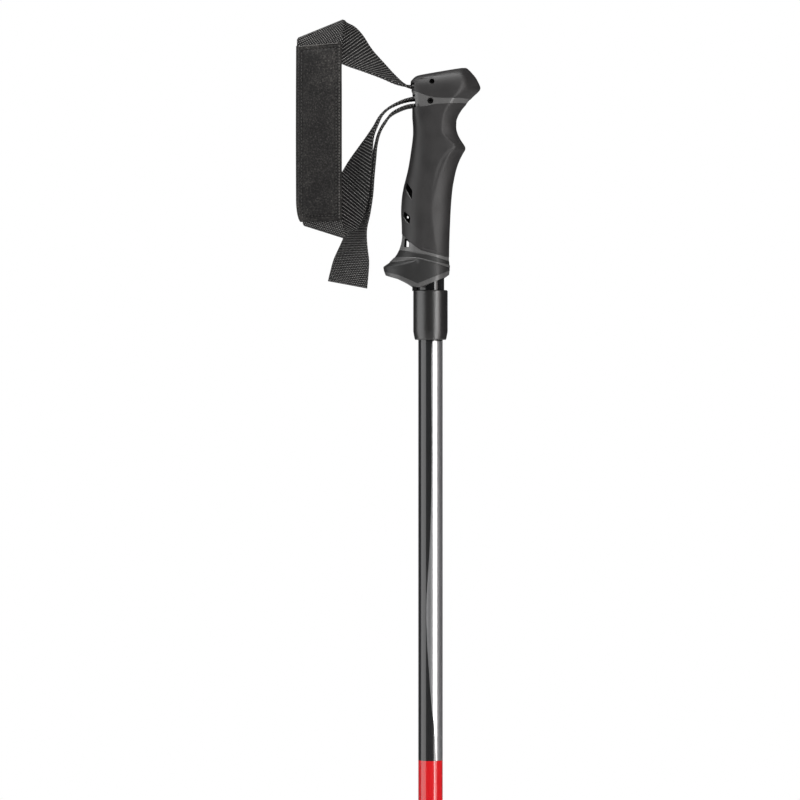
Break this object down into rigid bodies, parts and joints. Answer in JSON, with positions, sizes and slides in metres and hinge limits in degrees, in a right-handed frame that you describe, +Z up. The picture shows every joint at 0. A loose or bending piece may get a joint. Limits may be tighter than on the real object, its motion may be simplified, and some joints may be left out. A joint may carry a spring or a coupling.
{
  "type": "ski pole",
  "caption": "Telescoping ski pole with an ergonomic grip, an adjustable padded wrist strap, a twist-lock collar, a tapered shaft, a small basket and a hard tip.",
  "frame": {"origin": "the point of the tip, where the pole meets the snow, on the shaft's axis", "axes": "+Z up the pole along the shaft's axis; -X is the strap side of the grip, +X its thumb nose; Y is across the grip, which is a mirror plane apart from the strap"},
  "size_m": [0.1205, 0.056, 1.2313],
  "materials": {
    "cap_rubber": "soft matt charcoal elastomer, fine grained",
    "core_plastic": "hard moulded grey polymer, satin",
    "sleeve_rubber": "soft matt charcoal elastomer",
    "cuff_rubber": "soft elastomer with moulded ridges",
    "pin_steel": "blackened steel pin",
    "webbing": "coarse woven polyester webbing",
    "pad_fabric": "padded knitted fabric with a stitched border",
    "inner_plastic": "moulded nylon",
    "tube_black": "gloss black anodised aluminium tube",
    "collar_plastic": "fine textured black polymer",
    "seal_rubber": "soft lip ring",
    "shaft_paint": "gloss paint on aluminium: black and silver above, red below",
    "ring_aluminium": "turned bare aluminium",
    "tip_plastic": "moulded black polymer",
    "basket_plastic": "moulded black polymer",
    "tip_steel": "turned steel",
    "carbide": "sintered carbide"
  },
  "bodies": {
    "handle": {"grip_core": "core_plastic", "head_cap": "cap_rubber", "hand_sleeve": "sleeve_rubber", "base_cuff": "cuff_rubber", "strap_anchor_pin": "pin_steel", "strap_turn_pin": "pin_steel", "strap_anchor_eye": "webbing", "strap_turn_loop": "webbing", "upper_tube": "tube_black", "tube_plug": "inner_plastic", "clamp_sleeve": "inner_plastic"},
    "wedge": {"locking_wedge": "inner_plastic"},
    "collar": {"lock_collar": "collar_plastic", "wiper_ring": "seal_rubber"},
    "collet": {"collet": "inner_plastic"},
    "carrier": {"guide_bush": "inner_plastic"},
    "shaft": {"shaft_tube": "shaft_paint", "end_ring": "ring_aluminium", "tip_ferrule": "tip_plastic", "tip_holder": "tip_steel", "carbide_tip": "carbide", "basket": "basket_plastic"},
    "strap": {"strap_webbing": "webbing", "strap_tail": "webbing", "strap_pad": "pad_fabric"}
  },
  "joints": [
    {"name": "length_adjust", "type": "slide", "parent": "handle", "child": "carrier", "axis": [0, 0, 1], "range_m": [0, 0.065]},
    {"name": "shaft_spin", "type": "hinge", "parent": "carrier", "child": "shaft", "pos_m": [0, 0, 1], "axis": [0, 0, 1], "continuous": true},
    {"name": "collar_twist", "type": "hinge", "parent": "handle", "child": "collar", "pos_m": [0, 0, 1.04], "axis": [0, 0, 1], "range_deg": [0, 150]},
    {"name": "collet_drive", "type": "slide", "parent": "handle", "child": "collet", "axis": [0, 0, -1], "range_m": [0, 0.00084]},
    {"name": "wedge_release", "type": "slide", "parent": "handle", "child": "wedge", "axis": [1, 0, 0], "range_m": [0, 0.003]},
    {"name": "strap_swing", "type": "hinge", "parent": "handle", "child": "strap", "pos_m": [-0.013, 0, 1.181], "axis": [0, 1, 0], "range_deg": [-3, 30]}
  ],
  "couplings": [
    {"joint": "collet_drive", "follows": "collar_twist", "m_per_rad": 0.00031831}
  ]
}
